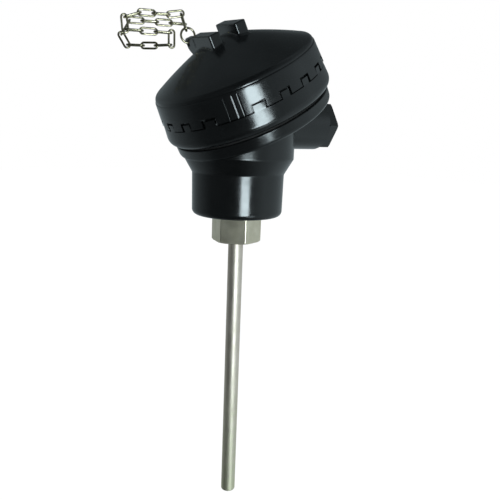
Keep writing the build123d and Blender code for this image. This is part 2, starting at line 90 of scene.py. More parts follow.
class Graph:
    """Shorthand for the nodes of one material or world."""

    def __init__(self, tree: bpy.types.NodeTree) -> None:
        """Keep the tree that the nodes go into."""
        self.tree = tree

    def add(self, kind: str, **settings) -> bpy.types.Node:
        """Add a node.

        Args:
            kind: Node type without its common ShaderNode prefix.
            settings: Attributes set on the node.

        Returns:
            The new node.
        """
        node = self.tree.nodes.new("ShaderNode" + kind)
        for name, value in settings.items():
            setattr(node, name, value)
        return node

    def feed(self, socket: NodeSocket, source) -> None:
        """Set a socket from another socket, or from a plain value."""
        if isinstance(source, NodeSocket):
            self.tree.links.new(source, socket)
        else:
            socket.default_value = source

    def wire(self, node: bpy.types.Node, sources: dict) -> bpy.types.Node:
        """Set inputs of a node by their names, and return the node."""
        for name, source in sources.items():
            self.feed(node.inputs[name], source)
        return node

    def math(self, operation: str, first, second=0.0) -> NodeSocket:
        """Return the result of an operation on two values or sockets."""
        node = self.add("Math", operation=operation)
        self.feed(node.inputs[0], first)
        self.feed(node.inputs[1], second)
        return node.outputs[0]

    def spread(self, source, low: float, high: float, start=0.0, end=1.0) -> NodeSocket:
        """Map a value from one range to another, held at both ends.

        Args:
            source: Value or socket to map.
            low, high: Range of the result.
            start, end: Range of the source.

        Returns:
            The mapped value.
        """
        node = self.add("MapRange")
        for socket, value in zip(node.inputs, (source, start, end, low, high)):
            self.feed(socket, value)
        return node.outputs[0]

    def noise(self, scale: float, stretch=(1.0, 1.0, 1.0), detail=3.0) -> NodeSocket:
        """Add a noise pattern on Object coordinates.

        Args:
            scale: Cycles per metre.
            stretch: Factor on the scale along X, Y and Z.
            detail: Number of finer layers.

        Returns:
            The pattern, about 0.5 on average.
        """
        place = self.add("TexCoord").outputs["Object"]
        mapping = self.wire(self.add("Mapping"), {"Vector": place, "Scale": stretch})
        noise = {"Vector": mapping.outputs[0], "Scale": scale, "Detail": detail}
        return self.wire(self.add("TexNoise"), noise).outputs["Fac"]

    def blend(self, share, first, second) -> NodeSocket:
        """Mix two colours.

        Args:
            share: Share of the second colour.
            first, second: Colours, as sockets or as three numbers.

        Returns:
            The mixed colour.
        """
        node = self.add("Mix", data_type="RGBA")
        self.feed(node.inputs["Factor"], share)
        for socket, colour in zip(node.inputs[MIX_COLOURS], (first, second)):
            self.feed(socket, colour if isinstance(colour, NodeSocket) else (*colour, 1.0))
        return node.outputs[MIX_RESULT]

    def mix(self, share, first, second) -> NodeSocket:
        """Mix two shaders by a share."""
        node = self.add("MixShader")
        for socket, source in zip(node.inputs, (share, first, second)):
            self.feed(socket, source)
        return node.outputs[0]

    def seen(self) -> NodeSocket:
        """Return 1 for what the camera sees, straight or through glass, and 0 for the rest."""
        path = self.add("LightPath")
        return self.math("MAXIMUM", path.outputs["Is Camera Ray"], path.outputs["Is Transmission Ray"])

    def ramp(self, share, stops: Sequence[tuple]) -> NodeSocket:
        """Add a colour ramp.

        Args:
            share: Place on the ramp, 0 to 1.
            stops: Place and colour of each stop, in order.

        Returns:
            The colour at that place.
        """
        node = self.add("ValToRGB")
        while len(node.color_ramp.elements) < len(stops):
            node.color_ramp.elements.new(0.5)
        for element, (place, colour) in zip(node.color_ramp.elements, stops):
            element.position = place
            element.color = (*colour, 1.0)
        self.feed(node.inputs[0], share)
        return node.outputs[0]


@dataclass(frozen=True)
class Finish:
    """One finish: its colours, gloss and fine structure.

    Attributes:
        name: Name of the material.
        base: Main colour.
        other: Colour that the main one drifts to in patches.
        gloss: Lowest and highest roughness.
        patch: Size of the patches.
        grain: Direction of the fine structure.
        grain_size: Width of the fine structure.
        relief: Height of the fine structure.
        metal: Whether it is bare metal.
        index: Refractive index.
        coat: Strength of a clear coat.
        coat_gloss: Roughness of that coat.
        patch_limits: Values of the pattern between which one colour gives way to the other.
        slow_scale, fine_scale: Cycles of the coarse and fine gloss pattern per patch and per grain.
        slow_share: Share of the coarse pattern in the gloss.
        gloss_limits: Values of the mixed pattern that give the lowest and highest roughness.
    """

    name: str
    base: tuple
    other: tuple
    gloss: tuple
    patch: float = 9 * MM
    grain: Grain = Grain.EVEN
    grain_size: float = 0.5 * MM
    relief: float = 0.004 * MM
    metal: bool = False
    index: float = 1.5
    coat: float = 0.0
    coat_gloss: float = 0.1
    patch_limits: tuple = (0.35, 0.7)
    slow_scale: float = 0.6
    fine_scale: float = 0.5
    slow_share: float = 0.6
    gloss_limits: tuple = (0.38, 0.62)

    def colour(self, graph: Graph) -> NodeSocket:
        """Main colour with slow patches in it."""
        share = graph.spread(graph.noise(1 / self.patch), 0.0, 1.0, *self.patch_limits)
        return graph.blend(share, self.base, self.other)

    def roughness(self, graph: Graph) -> NodeSocket:
        """Gloss that wanders between its two ends, fine and coarse."""
        slow = graph.noise(self.slow_scale / self.patch, detail=4.0)
        fine = graph.noise(self.fine_scale / self.grain_size, self.grain.value)
        mixed = graph.math("ADD", graph.math("MULTIPLY", slow, self.slow_share),
                           graph.math("MULTIPLY", fine, 1 - self.slow_share))
        return graph.spread(mixed, *self.gloss, *self.gloss_limits)

    def height(self, graph: Graph) -> NodeSocket:
        """Fine relief of the surface."""
        return graph.noise(1 / self.grain_size, self.grain.value, detail=2.0)

    def build(self) -> bpy.types.Material:
        """Make the material.

        Returns:
            A material with procedural colour, gloss and relief.
        """
        material = bpy.data.materials.new(self.name)
        material.use_nodes = True
        graph = Graph(material.node_tree)
        bump = graph.wire(graph.add("Bump"), {
            "Strength": 1.0, "Distance": self.relief, "Height": self.height(graph)})
        graph.wire(material.node_tree.nodes["Principled BSDF"], {
            "Metallic": float(self.metal), "IOR": self.index, "Coat Weight": self.coat,
            "Coat Roughness": self.coat_gloss, "Base Color": self.colour(graph),
            "Roughness": self.roughness(graph), "Normal": bump.outputs[0]})
        return material


@dataclass(frozen=True)
class TubeSteel(Finish):
    """Drawn steel that grows duller towards the tube's tip.

    Attributes:
        clean: Height from which upward the tube is bright.
        tip: Height of the tip.
        dull: Colour at the tip.
        spot: Size of the spots in the dull colour.
        spot_share: Share of the dull colour between the spots and in them.
        spot_limits: Values of the spots' pattern that give those shares.
    """

    clean: float = -60 * MM
    tip: float = -150 * MM
    dull: tuple = (0.84, 0.82, 0.59)
    spot: float = 3 * MM
    spot_share: tuple = (0.5, 1.0)
    spot_limits: tuple = (0.4, 0.6)

    def colour(self, graph: Graph) -> NodeSocket:
        """Bright at the top, dull and spotted towards the tip."""
        split = graph.add("SeparateXYZ")
        graph.feed(split.inputs[0], graph.add("TexCoord").outputs["Object"])
        depth = graph.spread(split.outputs[2], 1.0, 0.0, self.tip, self.clean)
        spots = graph.spread(graph.noise(1 / self.spot, detail=5.0), *self.spot_share, *self.spot_limits)
        return graph.blend(graph.math("MULTIPLY", depth, spots), super().colour(graph), self.dull)


# Settings shared by the black plastics and by the metals.
BLACK = dict(index=1.58, patch=14 * MM, grain_size=1.5 * MM, relief=0.005 * MM)
STEEL = dict(metal=True, grain_size=0.16 * MM)

# Each slot of the record: name, main colour, other colour, lowest and highest roughness, and the rest.
FINISHES = {
    "head_plastic": Finish(
        "moulded_black_head", (0.0046, 0.0060, 0.0066), (0.0066, 0.0082, 0.0090), (0.15, 0.24), **BLACK),
    "cap_plastic": Finish(
        "moulded_black_cap", (0.0046, 0.0060, 0.0066), (0.0068, 0.0084, 0.0092), (0.14, 0.23), **BLACK),
    "gasket_rubber": Finish(
        "black_rubber", (0.012, 0.012, 0.012), (0.022, 0.021, 0.020), (0.55, 0.75)),
    "chain_steel": Finish(
        "plated_wire", (0.62, 0.55, 0.40), (0.30, 0.28, 0.17), (0.16, 0.32), patch=2.5 * MM, **STEEL),
    "fitting_steel": Finish(
        "turned_steel", (0.92, 0.83, 0.66), (0.78, 0.70, 0.53), (0.30, 0.40), patch=5 * MM,
        grain=Grain.ACROSS, relief=0.0012 * MM, **STEEL),
    "sheath_steel": TubeSteel(
        "drawn_steel", (0.94, 0.83, 0.73), (0.84, 0.74, 0.63), (0.44, 0.58), patch=7 * MM,
        grain=Grain.ALONG, relief=0.0010 * MM, **STEEL),
    "plug_steel": Finish(
        "welded_steel", (0.40, 0.39, 0.34), (0.30, 0.28, 0.22), (0.35, 0.5), patch=2 * MM, **STEEL),
    "element_ceramic": Finish(
        "fired_ceramic", (0.80, 0.78, 0.71), (0.70, 0.67, 0.58), (0.4, 0.6), patch=2 * MM),
    "core_ceramic": Finish(
        "pressed_powder", (0.80, 0.79, 0.75), (0.72, 0.70, 0.64), (0.7, 0.9), relief=0.02 * MM),
    "seal_resin": Finish(
        "cast_resin", (0.16, 0.05, 0.035), (0.10, 0.03, 0.02), (0.2, 0.35), patch=2 * MM),
    "sleeve_rubber": Finish(
        "silicone", (0.66, 0.65, 0.60), (0.56, 0.54, 0.48), (0.45, 0.6), patch=3 * MM),
    "ferrule_tin": Finish(
        "tinned_copper", (0.72, 0.72, 0.69), (0.58, 0.57, 0.52), (0.22, 0.4), patch=1.5 * MM, **STEEL),
    "block_ceramic": Finish(
        "glazed_ceramic", (0.74, 0.71, 0.62), (0.66, 0.62, 0.52), (0.22, 0.34), patch=7 * MM,
        grain_size=1.2 * MM, relief=0.006 * MM, coat=0.5),
    "clamp_brass": Finish(
        "cut_brass", (0.72, 0.54, 0.24), (0.58, 0.42, 0.18), (0.22, 0.4), patch=3 * MM,
        grain=Grain.ACROSS, **STEEL),
    "screw_steel": Finish(
        "zinc_plate", (0.62, 0.63, 0.62), (0.50, 0.50, 0.46), (0.2, 0.38), patch=2 * MM, **STEEL),
    "wire_red": Finish(
        "red_wire_coat", (0.46, 0.035, 0.03), (0.36, 0.025, 0.02), (0.3, 0.45), patch=3 * MM),
    "wire_white": Finish(
        "white_wire_coat", (0.74, 0.73, 0.69), (0.62, 0.60, 0.54), (0.3, 0.45), patch=3 * MM),
}

WARDROBE: dict = {}  # material of each slot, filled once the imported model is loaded


# ---------------------------------------- mesh tools


class Pen:
    """Draws a run of joined edges in the XZ plane of a bmesh, x outwards and z up."""

    def __init__(self, bm: BMesh, x: float, z: float) -> None:
        """Put the pen down at a first place."""
        self.bm = bm
        self.tip = bmesh.ops.create_vert(bm, co=(x, 0.0, z))["vert"][0]
        self.first = self.tip

    def line(self, *places: tuple) -> "Pen":
        """Draw straight lines to places given as (x, z)."""
        for x, z in places:
            self.tip = bmesh.ops.extrude_vert_indiv(self.bm, verts=[self.tip])["verts"][0]
            self.tip.co = (x, 0.0, z)
        return self

    def arc(self, centre: tuple, angle: float, steps: int) -> "Pen":
        """Spin the pen's tip about a centre.

        Args:
            centre: Centre of the arc as (x, z).
            angle: Angle, positive from up towards outwards.
            steps: Number of edges.

        Returns:
            The pen.
        """
        for _ in range(steps):
            step = bmesh.ops.spin(self.bm, geom=[self.tip], cent=(centre[0], 0, centre[1]), axis=(0, 1, 0),
                                  angle=angle / steps, steps=1)
            self.tip = verts_of(step["geom_last"])[0]
        return self

    def turn(self, corner: tuple, after: tuple, radius: float, steps: int) -> "Pen":
        """Draw towards a corner and round it on the way to the next place.

        Args:
            corner: Sharp corner as (x, z).
            after: Next place, which isn't drawn to.
            radius: Radius of the round.
            steps: Number of edges on the round.

        Returns:
            The pen.
        """
        at, here, to = Vector(corner), Vector((self.tip.co.x, self.tip.co.z)), Vector(after)
        back, on = (here - at).normalized(), (to - at).normalized()
        half = back.angle(on) / 2
        start = at + back * radius / math.tan(half)
        centre = at + (back + on).normalized() * radius / math.sin(half)
        self.line(tuple(start))
        side = 1 if back.x * on.y - back.y * on.x > 0 else -1
        return self.arc(tuple(centre), side * (math.pi - 2 * half), steps)

    def close(self) -> "Pen":
        """Join the tip to the first place."""
        bmesh.ops.contextual_create(self.bm, geom=[self.tip, self.first])
        return self


def verts_of(geom: list) -> list:
    """Pick the vertices out of what a mesh operation gives back."""
    return [g for g in geom if isinstance(g, BMVert)]


def rotate(bm: BMesh, angle: float, axis: str = "Z", verts: Optional[list] = None) -> None:
    """Turn some vertices, or all, about an axis through the origin."""
    bmesh.ops.rotate(bm, verts=verts or bm.verts, matrix=Matrix.Rotation(angle, 3, axis))


def bevel(bm: BMesh, geom: list, width: float, steps: int, affect: str = "EDGES",
          clamp: bool = False) -> None:
    """Round edges or corners.

    Args:
        bm: Mesh to work on.
        geom: Edges or vertices to round.
        width: Distance by which the round reaches in from each.
        steps: Number of steps over the round.
        affect: Whether EDGES or VERTICES are rounded.
        clamp: Whether rounds that would meet are kept apart.
    """
    bmesh.ops.bevel(bm, geom=geom, offset=width, offset_type="OFFSET", affect=affect, segments=steps,
                    profile=0.5, material=-1, clamp_overlap=clamp)


def clean(bm: BMesh) -> BMesh:
    """Merge doubles and turn the faces outwards."""
    bmesh.ops.remove_doubles(bm, verts=bm.verts, dist=MERGE)
    bmesh.ops.dissolve_degenerate(bm, dist=MERGE, edges=bm.edges)
    bmesh.ops.recalc_face_normals(bm, faces=bm.faces)
    return bm


def fill_holes(bm: BMesh) -> None:
    """Close every open loop with one flat face."""
    bmesh.ops.holes_fill(bm, edges=[e for e in bm.edges if e.is_boundary], sides=0)


def spun(draw: Callable[[BMesh], Pen], steps: int, start: float = 0.0,
         angle: float = FULL_TURN) -> BMesh:
    """Spin a drawn profile about Z.

    Args:
        draw: Draws the profile in a fresh bmesh.
        steps: Number of steps over the angle.
        start: Angle of the first profile.
        angle: Angle to spin through.

    Returns:
        A bmesh of the swept surface, not merged.
    """
    bm = bmesh.new()
    draw(bm)
    if start:
        rotate(bm, start)
    bmesh.ops.spin(bm, geom=bm.verts[:] + bm.edges[:], axis=(0, 0, 1), angle=angle, steps=steps,
                   use_merge=abs(angle - FULL_TURN) < MERGE)
    return bm


def gather(target: BMesh, source: BMesh, matrix: Optional[Matrix] = None) -> None:
    """Add one bmesh to another.

    Args:
        target: Mesh that is added to.
        source: Mesh that is added, and freed after that.
        matrix: Move of the source.
    """
    if matrix is not None:
        bmesh.ops.transform(source, matrix=matrix, verts=source.verts)
    mesh = bpy.data.meshes.new("passing")
    source.to_mesh(mesh)
    source.free()
    target.from_mesh(mesh)
    bpy.data.meshes.remove(mesh)


def as_object(bm: BMesh, name: str) -> Object:
    """Turn a bmesh into an object at the origin and free the bmesh."""
    mesh = bpy.data.meshes.new(name)
    bm.to_mesh(mesh)
    bm.free()
    obj = bpy.data.objects.new(name, mesh)
    bpy.context.scene.collection.objects.link(obj)
    return obj


def cut(obj: Object, tool: Object, operation: str) -> None:
    """Cut a mesh with another one.

    Args:
        obj: Object to cut.
        tool: Object that it is cut with, dropped after that.
        operation: INTERSECT or DIFFERENCE.
    """
    modifier = obj.modifiers.new("cut", "BOOLEAN")
    modifier.object = tool
    modifier.operation = operation
    modifier.solver = "EXACT"
    depsgraph = bpy.context.evaluated_depsgraph_get()
    mesh = bpy.data.meshes.new_from_object(obj.evaluated_get(depsgraph))
    obj.modifiers.clear()
    old, obj.data = obj.data, mesh
    bpy.data.meshes.remove(old)
    tool_mesh = tool.data
    bpy.data.objects.remove(tool)
    bpy.data.meshes.remove(tool_mesh)
    mesh.name = obj.name


def soften(obj: Object, width: float, limit: float = 32.0) -> None:
    """Round the sharp edges a little and even out the shading.

    Args:
        obj: Object to soften.
        width: Width of the rounds.
        limit: Angle in degrees from which an edge is sharp.
    """
    obj.data.shade_smooth()
    edges = obj.modifiers.new("edges", "BEVEL")
    edges.width = width
    edges.segments = EDGE_SEGMENTS
    edges.limit_method = "ANGLE"
    edges.angle_limit = math.radians(limit)
    edges.use_clamp_overlap = True
    obj.modifiers.new("even_shading", "WEIGHTED_NORMAL").keep_sharp = True


def dress(obj: Object, slot: str, body: Body, *nodes: str) -> Object:
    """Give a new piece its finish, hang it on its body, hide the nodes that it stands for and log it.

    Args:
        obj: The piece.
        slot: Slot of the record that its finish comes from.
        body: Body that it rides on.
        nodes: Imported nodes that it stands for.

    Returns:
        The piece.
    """
    obj.data.materials.clear()
    obj.data.materials.append(WARDROBE[slot])
    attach(obj, body.value)
    if nodes:
        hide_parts(*nodes)
    LOG.info("%s: %d faces, finish %s, in place of %s", obj.name, len(obj.data.polygons), slot,
             ", ".join(nodes) or "nothing")
    return obj


# ---------------------------------------- sub-assemblies


@dataclass(frozen=True)
class CapSeat:
    """Tilted seat of the cap on the head."""

    tilt: float = math.radians(29.3)
    axis_height: float = 77.6 * MM
    rim_drop: float = 10.9 * MM

    def matrix(self) -> Matrix:
        """Matrix from cap coordinates to the frame."""
        axis = Vector((-math.sin(self.tilt), 0, math.cos(self.tilt)))
        side = Vector((math.cos(self.tilt), 0, math.sin(self.tilt)))
        basis = Matrix((side, axis.cross(side), axis)).transposed().to_4x4()
        return Matrix.Translation(Vector((0, 0, self.axis_height)) - axis * self.rim_drop) @ basis


class Zone(Enum):
    """What the cap's skirt shows over a span of angle."""

    TOOTH = "tooth"
    NOTCH = "notch"
    GAP = "gap"
    GROOVES = "grooves"
    LINE = "line"


@dataclass
class ScrewCap:
    """Domed cap with a notched skirt, two lugs and an ear, moulded in one."""

    seat: CapSeat = field(default_factory=CapSeat)
    bore: float = 38.3 * MM
    thread_depth: float = 10.2 * MM
    inner_radius: float = 37.3 * MM
    inner_wall_top: float = 22.2 * MM
    inner_shoulder: float = 4.0 * MM
    wall: float = 3.2 * MM
    rim: float = 41.5 * MM
    bulge: float = 43.9 * MM
    bulge_height: float = 3.4 * MM
    bulge_turn: float = math.radians(8)
    bulge_round: float = 7.0 * MM
    band_top: float = 43.05 * MM
    seam_height: float = 0.65 * MM
    split: float = 10.4 * MM
    tooth: float = 43.4 * MM
    skirt_top: float = 22.0 * MM
    skirt_top_radius: float = 42.1 * MM
    skirt_edge: float = 0.6 * MM
    dome_edge: float = 41.7 * MM
    dome_edge_height: float = 23.8 * MM
    dome_shoulder: float = 2.8 * MM
    dome_top: float = 38.4 * MM
    crown: float = 40.8 * MM
    crown_angle: float = math.radians(20)
    notch_height: float = 14.2 * MM
    notch_face: float = 42.9 * MM
    gap_floor: float = 41.4 * MM
    gap_height: float = 1.2 * MM
    gap_angle: float = 1.35
    slot_top: float = 20.5 * MM
    groove_depth: float = 0.16 * MM
    groove_places: tuple = (2.9, 6.6)
    groove_half: float = 0.55
    groove_step: float = 0.18
    line_depth: float = 0.35 * MM
    groups: int = 3
    group_turn: float = -134.4
    wide_tooth: float = 22.0
    narrow_teeth: int = 5
    narrow_pitch: float = 17.25
    narrow_tooth: float = 9.0
    groove_span: tuple = (2.2, 7.3)
    line_span: tuple = (-2.85, -2.35)
    step: float = 1.2
    lug_turn: float = math.radians(-12)
    lug_top: float = 42.6 * MM
    lug_thickness: float = 6.0 * MM
    lug_gap: float = 8.4 * MM
    lug_length: float = 22.0 * MM
    lug_edge: float = 0.9 * MM
    lug_top_edge: float = 0.6 * MM
    lug_flare: float = 1.2 * MM
    ear_length: float = 9.5 * MM
    ear_thickness: float = 3.6 * MM
    ear_tip_height: float = 5.2 * MM
    ear_foot_height: float = 4.2 * MM
    ear_sweep: float = 9.0 * MM
    ear_tip_edge: float = 1.8 * MM
    ear_hole: float = 1.3 * MM
    ear_hole_inset: float = 2.7 * MM
    ear_edge: float = 0.4 * MM
    ear_sharp: float = math.radians(60)
    edge: float = 0.18 * MM
    shoulder_share: float = 0.2
    inner_shoulder_share: float = 0.25
    arc_steps: int = 8
    flank_steps: int = 4
    bend_steps: int = 5
    edge_steps: int = 3
    lug_side_cuts: int = 9
    lug_foot_steps: int = 5
    ear_tip_steps: int = 6
    ear_sweep_steps: int = 10
    ear_hole_steps: int = 28

    def skirt(self, height: float) -> float:
        """Outer radius of the toothed band at a height."""
        share = (height - self.split) / (self.skirt_top - self.split)
        return self.tooth + share * (self.skirt_top_radius - self.tooth)

    def flank(self, top: float, crown: float, edge: tuple) -> tuple:
        """Centre and radius of the flat arc that goes on from a crown arc to an edge.

        Args:
            top: Height of the crown on the axis.
            crown: Radius of the crown arc.
            edge: Radius and height of the place that the arc ends at.

        Returns:
            The end of the crown arc, and the flat arc's centre and radius.
        """
        start = Vector((crown * math.sin(self.crown_angle), top - crown + crown * math.cos(self.crown_angle)))
        inward = Vector((-math.sin(self.crown_angle), -math.cos(self.crown_angle)))
        gap = start - Vector(edge)
        radius = -gap.length_squared / (2 * inward.dot(gap))
        return start, start + inward * radius, radius

    def dome_height(self, radius: float) -> float:
        """Height of the dome's outside at a radius."""
        start, centre, flat = self.flank(self.dome_top, self.crown, (self.dome_edge, self.dome_edge_height))
        if radius <= start.x:
            return self.dome_top - self.crown + math.sqrt(self.crown ** 2 - radius ** 2)
        return centre.y + math.sqrt(flat ** 2 - (radius - centre.x) ** 2)

    def draw(self, zone: Zone) -> Callable[[BMesh], Pen]:
        """Profile of the cap's wall, from the dome's inside to its outside.

        Args:
            zone: What the skirt shows there.

        Returns:
            A function that draws the profile in a bmesh.
        """

        def profile(bm: BMesh) -> Pen:
            """Draw it in a bmesh."""
            top, crown = self.dome_top - self.wall, self.crown - self.wall
            wall_top = (self.inner_radius, self.inner_wall_top)
            wall_foot = (self.inner_radius, self.thread_depth)
            start, centre, flat = self.flank(top, crown, wall_top)
            sweep = 2 * math.asin((start - Vector(wall_top)).length / 2 / flat)
            pen = Pen(bm, 0.0, top).arc((0.0, top - crown), self.crown_angle, self.arc_steps)
            pen.arc(tuple(centre), sweep * (1 - self.inner_shoulder_share), self.flank_steps)
            pen.turn(wall_top, wall_foot, self.inner_shoulder, self.bend_steps)
            pen.line(wall_foot, (self.bore, self.thread_depth), (self.bore, 0.0), (self.rim, 0.0))
            self.draw_bulge(pen)
            self.draw_skirt(pen, zone)
            self.draw_dome(pen)
            return pen

        return profile

    def draw_bulge(self, pen: Pen) -> None:
        """Draw the bulging lower band, upright where it is widest."""
        inset = self.bulge - self.rim
        radius = (self.bulge_height ** 2 + inset ** 2) / 2 / inset
        sweep = math.asin(self.bulge_height / radius)
        pen.arc((self.bulge - radius, self.bulge_height), -sweep, self.arc_steps)
        pen.arc((self.bulge - self.bulge_round, self.bulge_height), -self.bulge_turn, self.edge_steps)
        pen.line((self.band_top, self.split - self.seam_height))

    def draw_skirt(self, pen: Pen, zone: Zone) -> None:
        """Draw the toothed band.

        Args:
            pen: Pen at the top of the bulging band.
            zone: What the band shows there.
        """
        low, mid, high = self.split, self.notch_height, self.slot_top
        gap = ((self.gap_floor, mid - self.gap_height), (self.gap_floor, mid), (self.skirt(mid), mid))
        depth = self.line_depth if zone is Zone.LINE else 0.0
        if zone is Zone.NOTCH:
            pen.line((self.notch_face, low), (self.notch_face, mid - self.gap_height), *gap)
        else:
            pen.line((self.gap_floor, low - self.seam_height), (self.gap_floor, low))
            if zone is Zone.GAP:
                pen.line(*gap)
            else:
                pen.line((self.skirt(low) - depth, low), (self.skirt(mid) - depth, mid))
        if depth:
            pen.line((self.skirt(high) - depth, high))
        elif zone is Zone.GROOVES:
            # A hair inside the band, so that score finds two rows of points to press.
            pen.line(*((self.skirt(h) - MERGE, h) for h in (mid, high - MERGE)))
        pen.line((self.skirt(high), high))
        pen.turn((self.skirt_top_radius, self.skirt_top), (self.dome_edge, self.skirt_top), self.skirt_edge,
                 self.edge_steps)

    def draw_dome(self, pen: Pen) -> None:
        """Draw the dome from its foot to the axis."""
        edge = (self.dome_edge, self.dome_edge_height)
        start, centre, flat = self.flank(self.dome_top, self.crown, edge)
        sweep = 2 * math.asin((start - Vector(edge)).length / 2 / flat)
        last = Vector(edge) - centre
        slope = math.atan2(last.x, last.y) - sweep * self.shoulder_share
        before = (centre.x + flat * math.sin(slope), centre.y + flat * math.cos(slope))
        pen.line((self.dome_edge, self.skirt_top))
        pen.turn(edge, before, self.dome_shoulder, self.bend_steps)
        pen.line(before)
        pen.arc(tuple(centre), -sweep * (1 - self.shoulder_share), self.arc_steps)
        pen.arc((0.0, self.dome_top - self.crown), -self.crown_angle, self.arc_steps)

    def with_gaps(self, zone: Zone, start: float, end: float) -> list:
        """Put a narrow gap at both ends of a notch.

        Args:
            zone: Zone to look at, of any kind.
            start, end: Its angles in degrees.

        Returns:
            The (zone, start angle) marks that stand for it.
        """
        if zone is not Zone.NOTCH:
            return [(zone, start)]
        return [(Zone.GAP, start), (Zone.NOTCH, start + self.gap_angle), (Zone.GAP, end - self.gap_angle)]

    def spans(self) -> list:
        """All zones round the cap as (zone, start angle, end angle) in degrees."""
        half, middle = self.wide_tooth / 2, 180 / self.groups
        last = 2 * middle - half
        marks = [(Zone.TOOTH, -half), (Zone.LINE, self.line_span[0]), (Zone.TOOTH, self.line_span[1]),
                 (Zone.GROOVES, self.groove_span[0]), (Zone.TOOTH, self.groove_span[1]), (Zone.NOTCH, half)]
        for k in range(self.narrow_teeth):
            centre = middle + self.narrow_pitch * (k - (self.narrow_teeth - 1) / 2)
            marks.append((Zone.TOOTH, centre - self.narrow_tooth / 2))
            marks.append((Zone.NOTCH, centre + self.narrow_tooth / 2))
        marks = [mark for (zone, start), (_, end) in zip(marks, marks[1:] + [(Zone.TOOTH, last)])
                 for mark in self.with_gaps(zone, start, end)]
        ends = [angle for _, angle in marks[1:]] + [last]
        turns = [self.group_turn + 2 * middle * g for g in range(self.groups)]
        return [(zone, turn + start, turn + end)
                for turn in turns for (zone, start), end in zip(marks, ends)]

    def score(self, span: BMesh, turn: float) -> None:
        """Press the two fine upright grooves into one span of the toothed band.

        Args:
            span: The span's wall, in cap coordinates.
            turn: Angle that its group is turned by, in degrees.
        """
        for vert in span.verts:
            radius, height = vert.co.xy.length, vert.co.z
            if not self.split - MERGE < height < self.slot_top or radius < self.skirt(height) - 2 * MERGE:
                continue
            angle = (math.degrees(math.atan2(vert.co.y, vert.co.x)) - turn + 180) % 360 - 180
            near = min(abs(angle - place) for place in self.groove_places)
            press = self.groove_depth * max(0.0, 1 - near / self.groove_half)
            vert.co.xy *= (radius - press) / radius

    def shell(self) -> BMesh:
        """Cap wall with its skirt, spun span by span and closed."""
        bm = bmesh.new()
        for zone, start, end in self.spans():
            steps = max(1, round((end - start) / (self.groove_step if zone is Zone.GROOVES else self.step)))
            span = spun(self.draw(zone), steps, math.radians(start), math.radians(end - start))
            if zone is Zone.GROOVES:
                self.score(span, start - self.groove_span[0])
            gather(bm, span)
        bmesh.ops.remove_doubles(bm, verts=bm.verts, dist=MERGE)
        fill_holes(bm)
        return clean(bm)

    def lug(self, side: int) -> BMesh:
        """Square lug with rounded edges and a foot that flares onto the dome.

        Args:
            side: -1 or 1, the side of the gap that it stands on.

        Returns:
            A closed bmesh in cap coordinates.
        """
        bm = bmesh.new()
        bmesh.ops.create_grid(bm, x_segments=1, y_segments=1, size=0.5)
        bmesh.ops.scale(bm, vec=(self.lug_thickness, self.lug_length, 1), verts=bm.verts)
        bevel(bm, bm.verts[:], self.lug_edge, self.bend_steps, affect="VERTICES")
        sides = [e for e in bm.edges if e.calc_length() > 2 * self.lug_edge]
        bmesh.ops.subdivide_edges(bm, edges=sides, cuts=self.lug_side_cuts)
        centre = Vector((side * (self.lug_gap + self.lug_thickness) / 2, 0, 0))
        core = (self.lug_thickness / 2 - self.lug_edge, self.lug_length / 2 - self.lug_edge)

        def outward(place: Vector) -> Vector:
            """Direction out of the outline at one of its places."""
            inner = Vector((max(-core[0], min(core[0], place.x)), max(-core[1], min(core[1], place.y)), 0))
            return (place - inner).normalized()

        def dome(place: Vector) -> float:
            """Height of the dome under a place of the lug's own plan."""
            return self.dome_height((place + centre).xy.length)

        def put(vert: BMVert, place: Vector, push: float, height: float) -> None:
            """Set a vertex out from the outline and at a height."""
            spot = place + outward(place) * push
            vert.co = (spot.x + centre.x, spot.y, height)

        def levels(place: Vector) -> list:
            """Push and height of each loop below the top face."""
            edge = self.lug_top_edge
            bends = [math.radians(90 * (k + 1) / self.edge_steps) for k in range(self.edge_steps)]
            rows = [(-edge * (1 - math.sin(a)), self.lug_top - edge * (1 - math.cos(a))) for a in bends]
            wall, reach = dome(place), dome(place + outward(place) * self.lug_flare)
            for t in (k / self.lug_foot_steps for k in range(self.lug_foot_steps + 1)):
                push = t * t * self.lug_flare
                height = (1 - t) ** 2 * (wall + self.lug_flare) + 2 * t * (1 - t) * wall + t * t * reach
                rows.append((push, height))
            rows.append((0.0, reach - self.wall / 2))
            return rows

        loop = bm.verts[:]
        places = {v: v.co.copy() for v in loop}
        plans = {v: levels(place) for v, place in places.items()}
        for v in loop:
            put(v, places[v], -self.lug_top_edge, self.lug_top)
        for level in range(len(plans[loop[0]])):
            edges = [e for e in bm.edges if e.is_boundary or e.is_wire]
            fresh = verts_of(bmesh.ops.extrude_edge_only(bm, edges=edges)["geom"])
            for v in fresh:
                old = next(e.other_vert(v) for e in v.link_edges if e.other_vert(v) in loop)
                places[v], plans[v] = places[old], plans[old]
                put(v, places[v], *plans[v][level])
            loop = fresh
        fill_holes(bm)
        rotate(bm, self.lug_turn)
        return clean(bm)

